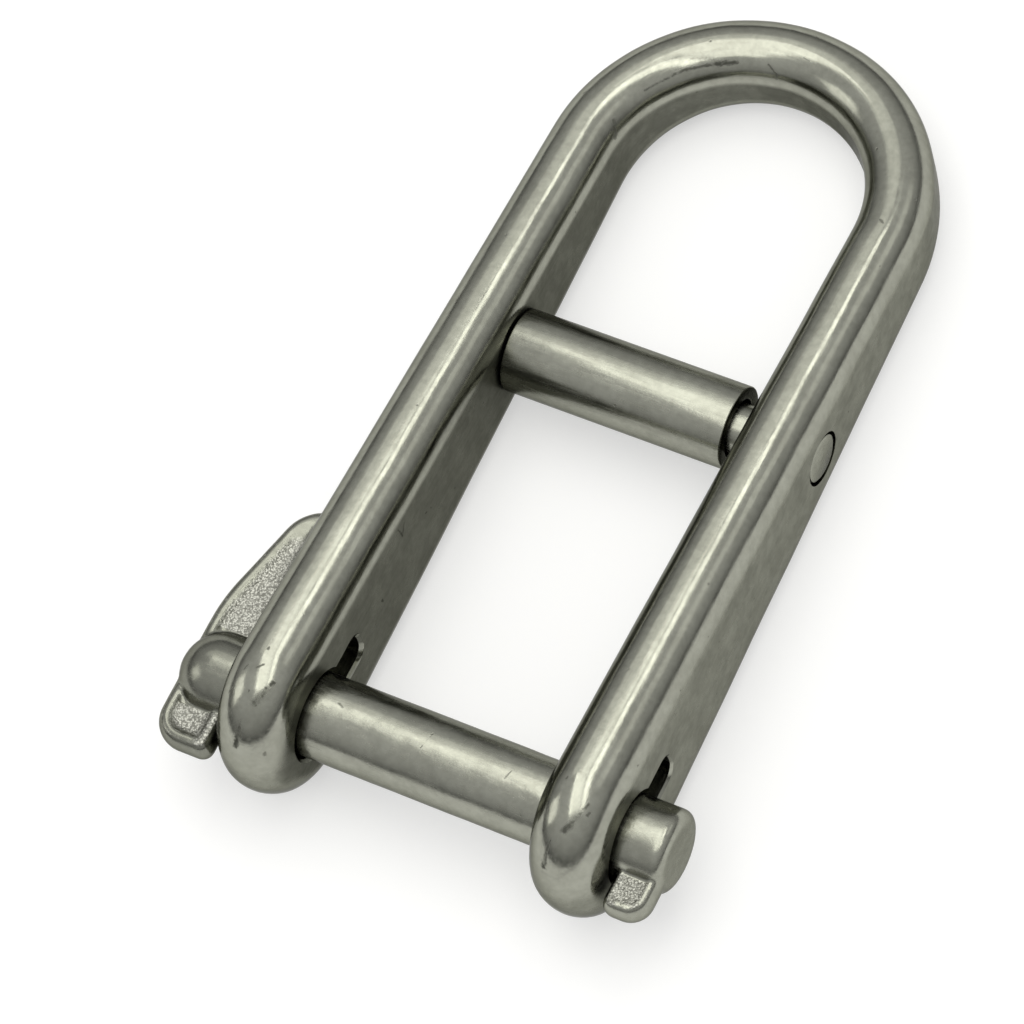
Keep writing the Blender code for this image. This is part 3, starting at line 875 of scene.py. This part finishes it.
def finish_piece(piece, node, body, nodes):
    piece.data.materials.clear()
    piece.data.materials.append(nodes.material)
    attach(piece, body)
    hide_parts(node)


# Stage

FLOOR_SIZE = 6.0
FLOOR_TONE = 0.56
FLOOR_GLOW = 0.48
WORLD_LEVELS = [(0.0, 0.14), (0.1, 0.22), (0.3, 0.5), (0.6, 0.68), (1.0, 0.8)]
LAMP_TURN = 26.0
LAMP_DISTANCE = 0.6
LAMP_TINT = (1.0, 0.995, 0.93)

# Name, place across and along from overhead, width and length in degrees, and strength
LAMPS = [
    ("overhead_panel", -2.2, 3.5, 22.0, 59.0, 1.75),
    ("left_strip", -15.5, 3.5, 4.5, 59.0, 2.4),
    ("right_strip", 17.5, 3.5, 10.0, 59.0, 2.8),
    ("top_shoulder", -8.5, 41.0, 35.0, 15.0, 0.6),
    ("left_fill", -61.0, 1.0, 22.0, 24.0, 1.3),
    ("right_fill", 47.5, 18.0, 14.0, 34.0, 0.45),
]

# The camera, in the directions that the fit to the outline gave
LENS = 210.876
CAMERA_RIGHT = Vector((0.878415, 0.431924, -0.204524))
CAMERA_UP = Vector((-0.3268, 0.855156, 0.40238))
CAMERA_BACK = Vector((0.348697, -0.286618, 0.892334))
CAMERA_FROM_PIN = Vector((0.184349, -0.131105, 0.483578))


def floor():
    bpy.ops.mesh.primitive_plane_add(size=FLOOR_SIZE, location=(0.0, 0.0, 0.0))
    plane = bpy.context.object
    plane.name = "floor"
    material = bpy.data.materials.new("pale_floor")
    material.use_nodes = True
    tree = material.node_tree
    shader = tree.nodes["Principled BSDF"]
    shader.inputs["Base Color"].default_value = (FLOOR_TONE, FLOOR_TONE, FLOOR_TONE, 1.0)
    shader.inputs["Roughness"].default_value = 0.9
    shader.inputs["Specular IOR Level"].default_value = 0.1
    glow = tree.nodes.new("ShaderNodeEmission")
    path = tree.nodes.new("ShaderNodeLightPath")
    seen = path.outputs["Is Camera Ray"]
    for name in ("Is Glossy Ray", "Is Transmission Ray"):
        either = tree.nodes.new("ShaderNodeMath")
        either.operation = "MAXIMUM"
        tree.links.new(seen, either.inputs[0])
        tree.links.new(path.outputs[name], either.inputs[1])
        seen = either.outputs[0]
    level = tree.nodes.new("ShaderNodeMath")
    level.operation = "MULTIPLY"
    level.inputs[1].default_value = FLOOR_GLOW
    tree.links.new(seen, level.inputs[0])
    tree.links.new(level.outputs[0], glow.inputs["Strength"])
    both = tree.nodes.new("ShaderNodeAddShader")
    tree.links.new(shader.outputs[0], both.inputs[0])
    tree.links.new(glow.outputs[0], both.inputs[1])
    tree.links.new(both.outputs[0], tree.nodes["Material Output"].inputs["Surface"])
    plane.data.materials.append(material)


def world():
    """Soft light from all round, dimmer toward the horizon."""
    scene_world = bpy.data.worlds.new("studio")
    bpy.context.scene.world = scene_world
    scene_world.use_nodes = True
    tree = scene_world.node_tree
    place = tree.nodes.new("ShaderNodeTexCoord")
    split = tree.nodes.new("ShaderNodeSeparateXYZ")
    ramp = tree.nodes.new("ShaderNodeValToRGB")
    steps = ramp.color_ramp.elements
    while len(steps) < len(WORLD_LEVELS):
        steps.new(0.5)
    for step, (height, level) in zip(steps, WORLD_LEVELS):
        step.position = height
        step.color = (level, level, level, 1.0)
    tree.links.new(place.outputs["Generated"], split.inputs[0])
    tree.links.new(split.outputs[2], ramp.inputs[0])
    tree.links.new(ramp.outputs[0], tree.nodes["Background"].inputs["Color"])


def lamp(name, across, along, width, length, strength):
    """A soft box that faces the shackle.

    Its place, width and length are in degrees as seen from the shackle, in a frame that is turned a little
    about the vertical. Strength is the light that it shows to the metal.
    """
    tilt = math.radians(math.hypot(across, along))
    heading = math.atan2(along, across) + math.radians(LAMP_TURN)
    aim = Vector((math.sin(tilt) * math.cos(heading), math.sin(tilt) * math.sin(heading), math.cos(tilt)))
    side = Vector((math.cos(math.radians(LAMP_TURN)), math.sin(math.radians(LAMP_TURN)), 0.0))
    side = (side - aim * side.dot(aim)).normalized()
    data = bpy.data.lights.new(name, "AREA")
    data.shape = "RECTANGLE"
    data.size = 2 * LAMP_DISTANCE * math.tan(math.radians(width / 2))
    data.size_y = 2 * LAMP_DISTANCE * math.tan(math.radians(length / 2))
    data.color = LAMP_TINT
    data.energy = strength * math.pi * data.size * data.size_y
    light = bpy.data.objects.new(name, data)
    place = Matrix((side, aim.cross(side), aim)).transposed().to_4x4()
    place.translation = aim * LAMP_DISTANCE
    light.matrix_world = place
    bpy.context.scene.collection.objects.link(light)


def camera():
    data = bpy.data.cameras.new("camera")
    data.sensor_width = 36.0
    data.lens = LENS
    data.clip_end = 10.0
    view = bpy.data.objects.new("camera", data)
    place = Matrix((CAMERA_RIGHT, CAMERA_UP, CAMERA_BACK)).transposed().to_4x4()
    place.translation = PIN_AT + CAMERA_FROM_PIN
    view.matrix_world = place
    bpy.context.scene.collection.objects.link(view)
    bpy.context.scene.camera = view


finish_piece(bow_body(), "bow_body", "shackle", body_steel())
finish_piece(bar_rivet(), "bar_rivet", "shackle", drawn_steel("drawn_rod", 0.24, 0.0))
finish_piece(bar_sleeve(), "bar_sleeve", "sleeve", drawn_steel("drawn_sleeve", 0.22, 0.75))
finish_piece(key_pin(), "key_pin", "pin", cast_steel())
floor()
world()
for settings in LAMPS:
    lamp(*settings)
camera()
bpy.context.scene.view_settings.view_transform = "Standard"
